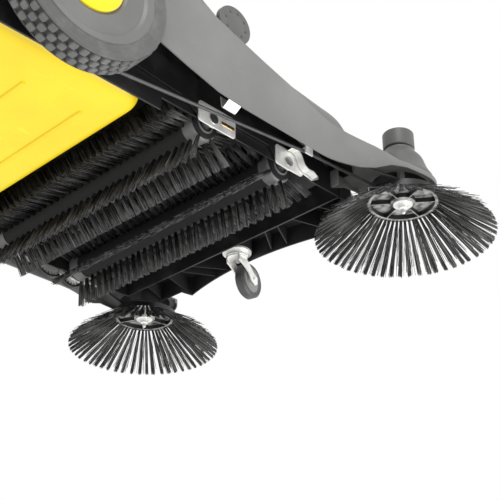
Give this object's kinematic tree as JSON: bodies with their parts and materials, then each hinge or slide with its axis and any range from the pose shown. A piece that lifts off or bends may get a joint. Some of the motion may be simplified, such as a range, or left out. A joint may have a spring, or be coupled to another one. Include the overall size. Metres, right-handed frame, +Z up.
{
  "type": "walk-behind sweeper",
  "caption": "Push sweeper with two geared roller brushes, belt-driven side brushes, slide-out waste container, swivel caster and folding push handle.",
  "frame": {"origin": "on the floor, under the middle of the whole machine's length and width", "axes": "+Z up, -Y the driving direction with the side brushes, +Y the push handle's end, +X the machine's left"},
  "size_m": [0.91, 1.292, 1.04],
  "materials": {
    "dark_plastic": "satin moulded",
    "black_sheet": "black powder coat",
    "black_plastic": "fine matt moulding",
    "yellow_plastic": "satin moulded",
    "zinc": "zinc plated",
    "steel": "turned",
    "brass": "drawn strip",
    "belt": "round polyurethane cord",
    "bristle": "nylon filament",
    "pale_plastic": "natural moulding",
    "tyre_rubber": "block tread",
    "caster_rubber": "smooth tread",
    "tube_paint": "dark coated tube",
    "grip_foam": "soft sleeve"
  },
  "bodies": {
    "chassis": {"side_wall_left": "black_sheet", "side_wall_right": "black_sheet", "chamber_cover": "black_sheet", "front_panel": "black_plastic", "side_panel_left": "dark_plastic", "side_panel_right": "dark_plastic", "hood": "dark_plastic", "rear_cover": "dark_plastic", "brush_housing_left": "black_plastic", "brush_housing_right": "black_plastic", "wheel_axles": "steel", "belt_guides": "zinc", "side_brush_belts": "belt", "caster_plate": "zinc", "handle_brackets": "zinc", "handle_caps": "black_plastic", "cover_screws": "zinc"},
    "adjuster": {"adjuster_shaft": "steel", "adjuster_disc": "black_plastic", "adjuster_cams": "pale_plastic"},
    "cradle": {"swing_arm_left": "black_sheet", "swing_arm_right": "black_sheet", "bearing_plates": "zinc", "roller_bearings": "pale_plastic", "brass_strips": "brass", "gear_cover": "black_plastic", "roller_belt": "belt"},
    "rear_roller": {"rear_roller_core": "pale_plastic", "rear_roller_bristles": "bristle", "rear_roller_shaft": "steel", "rear_roller_gear": "pale_plastic"},
    "front_roller": {"front_roller_core": "pale_plastic", "front_roller_bristles": "bristle", "front_roller_shaft": "steel", "front_roller_gear": "pale_plastic"},
    "idler_rear": {"idler_gear_rear": "pale_plastic"},
    "idler_front": {"idler_gear_front": "pale_plastic"},
    "caster_swivel": {"caster_fork": "zinc"},
    "caster_roll": {"caster_wheel": "pale_plastic", "caster_tyre": "caster_rubber"},
    "container": {"container_tub": "yellow_plastic"},
    "container_bail": {"container_handle": "black_plastic"},
    "push_handle": {"push_handle_tube": "tube_paint", "push_handle_grip": "grip_foam"},
    "wheel_left": {"tyre_left": "tyre_rubber", "wheel_disc_left": "dark_plastic", "hub_cap_left": "yellow_plastic"},
    "carrier_left": {"lift_knob_left": "dark_plastic"},
    "brush_left": {"side_brush_disc_left": "pale_plastic", "side_brush_bristles_left": "bristle", "side_brush_spindle_left": "zinc"},
    "pulley_left": {"side_brush_pulley_left": "black_plastic"},
    "wheel_right": {"tyre_right": "tyre_rubber", "wheel_disc_right": "dark_plastic", "hub_cap_right": "yellow_plastic"},
    "carrier_right": {"lift_knob_right": "dark_plastic"},
    "brush_right": {"side_brush_disc_right": "pale_plastic", "side_brush_bristles_right": "bristle", "side_brush_spindle_right": "zinc"},
    "pulley_right": {"side_brush_pulley_right": "black_plastic"}
  },
  "joints": [
    {"name": "wheel_left_spin", "type": "hinge", "parent": "chassis", "child": "wheel_left", "pos_m": [0.31, 0.136, 0.1204], "axis": [1, 0, 0], "continuous": true},
    {"name": "wheel_right_spin", "type": "hinge", "parent": "chassis", "child": "wheel_right", "pos_m": [-0.31, 0.136, 0.1204], "axis": [1, 0, 0], "continuous": true},
    {"name": "cradle_lift", "type": "hinge", "parent": "chassis", "child": "cradle", "pos_m": [0, 0.136, 0.1204], "axis": [1, 0, 0], "range_deg": [-1.5, 0]},
    {"name": "adjuster_turn", "type": "hinge", "parent": "chassis", "child": "adjuster", "pos_m": [0, -0.131, 0.209], "axis": [1, 0, 0], "range_deg": [0, 180]},
    {"name": "rear_roller_spin", "type": "hinge", "parent": "cradle", "child": "rear_roller", "pos_m": [0, -0.136, 0.0705], "axis": [1, 0, 0], "continuous": true},
    {"name": "idler_rear_spin", "type": "hinge", "parent": "cradle", "child": "idler_rear", "pos_m": [0.268, -0.184, 0.0845], "axis": [1, 0, 0], "continuous": true},
    {"name": "idler_front_spin", "type": "hinge", "parent": "cradle", "child": "idler_front", "pos_m": [0.268, -0.244, 0.0845], "axis": [1, 0, 0], "continuous": true},
    {"name": "front_roller_spin", "type": "hinge", "parent": "cradle", "child": "front_roller", "pos_m": [0, -0.292, 0.0705], "axis": [1, 0, 0], "continuous": true},
    {"name": "caster_swivel", "type": "hinge", "parent": "chassis", "child": "caster_swivel", "pos_m": [0, -0.4445, 0.0605], "axis": [0, 0, 1], "continuous": true},
    {"name": "caster_roll", "type": "hinge", "parent": "caster_swivel", "child": "caster_roll", "pos_m": [0.00749, -0.47971, 0.031], "axis": [0.9781, 0.2079, 0], "continuous": true},
    {"name": "container_slide", "type": "slide", "parent": "chassis", "child": "container", "axis": [0, 1, 0], "range_m": [0, 0.45]},
    {"name": "container_handle_swing", "type": "hinge", "parent": "container", "child": "container_bail", "pos_m": [0, 0.409, 0.29], "axis": [1, 0, 0], "range_deg": [0, 90]},
    {"name": "push_handle_fold", "type": "hinge", "parent": "chassis", "child": "push_handle", "pos_m": [0, 0.076, 0.3], "axis": [1, 0, 0], "range_deg": [0, 118]},
    {"name": "side_brush_lift_left", "type": "slide", "parent": "chassis", "child": "carrier_left", "axis": [0, 0, 1], "range_m": [0, 0.008]},
    {"name": "side_brush_spin_left", "type": "hinge", "parent": "carrier_left", "child": "brush_left", "pos_m": [0.313, -0.504, 0.07], "axis": [0, 0, 1], "continuous": true},
    {"name": "side_pulley_spin_left", "type": "hinge", "parent": "chassis", "child": "pulley_left", "pos_m": [0.313, -0.504, 0.0883], "axis": [0, 0, 1], "continuous": true},
    {"name": "side_brush_lift_right", "type": "slide", "parent": "chassis", "child": "carrier_right", "axis": [0, 0, 1], "range_m": [0, 0.008]},
    {"name": "side_brush_spin_right", "type": "hinge", "parent": "carrier_right", "child": "brush_right", "pos_m": [-0.313, -0.504, 0.07], "axis": [0, 0, 1], "continuous": true},
    {"name": "side_pulley_spin_right", "type": "hinge", "parent": "chassis", "child": "pulley_right", "pos_m": [-0.313, -0.504, 0.0883], "axis": [0, 0, 1], "continuous": true}
  ],
  "couplings": [
    {"joint": "adjuster_turn", "follows": "cradle_lift", "ratio": -120},
    {"joint": "rear_roller_spin", "follows": "wheel_left_spin", "ratio": 4},
    {"joint": "idler_rear_spin", "follows": "wheel_left_spin", "ratio": -2.6667},
    {"joint": "idler_front_spin", "follows": "wheel_left_spin", "ratio": 2.6667},
    {"joint": "front_roller_spin", "follows": "wheel_left_spin", "ratio": -4},
    {"joint": "side_pulley_spin_left", "follows": "wheel_left_spin", "ratio": -4.5},
    {"joint": "side_brush_spin_left", "follows": "wheel_left_spin", "ratio": -4.5},
    {"joint": "side_pulley_spin_right", "follows": "wheel_right_spin", "ratio": 4.5},
    {"joint": "side_brush_spin_right", "follows": "wheel_right_spin", "ratio": 4.5}
  ]
}
